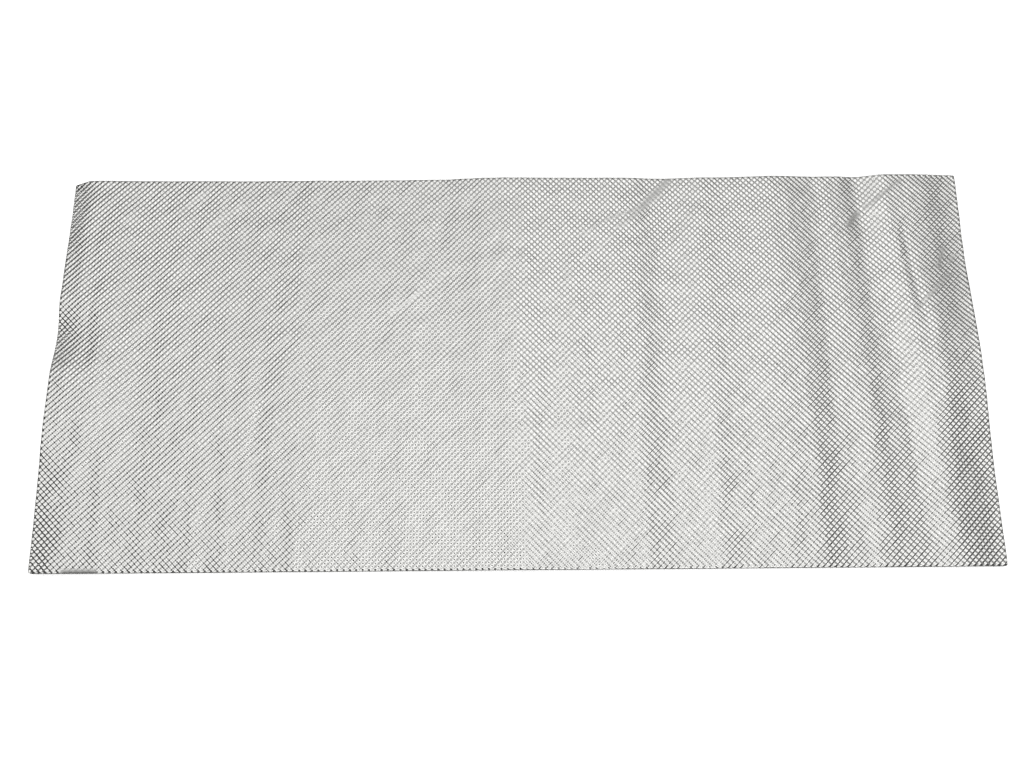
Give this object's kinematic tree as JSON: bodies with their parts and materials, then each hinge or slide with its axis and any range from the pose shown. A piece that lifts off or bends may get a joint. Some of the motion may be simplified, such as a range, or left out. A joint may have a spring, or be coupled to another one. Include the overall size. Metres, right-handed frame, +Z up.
{
  "type": "embossed heat shield sheet",
  "caption": "Thin rectangular aluminium heat shield sheet with a diamond embossed pattern, slow roll waves and slightly lifted edges.",
  "frame": {"origin": "middle of the sheet's footprint, on the surface that it lies on", "axes": "+X along the long side to the right, +Y from the near long edge to the far one, +Z up out of the embossed face"},
  "size_m": [1.2192, 0.5334, 0.0127],
  "materials": {
    "embossed_aluminium": "bright mill-finish embossed aluminium"
  },
  "bodies": {
    "root": {"shield_sheet": "embossed_aluminium"}
  },
  "joints": []
}
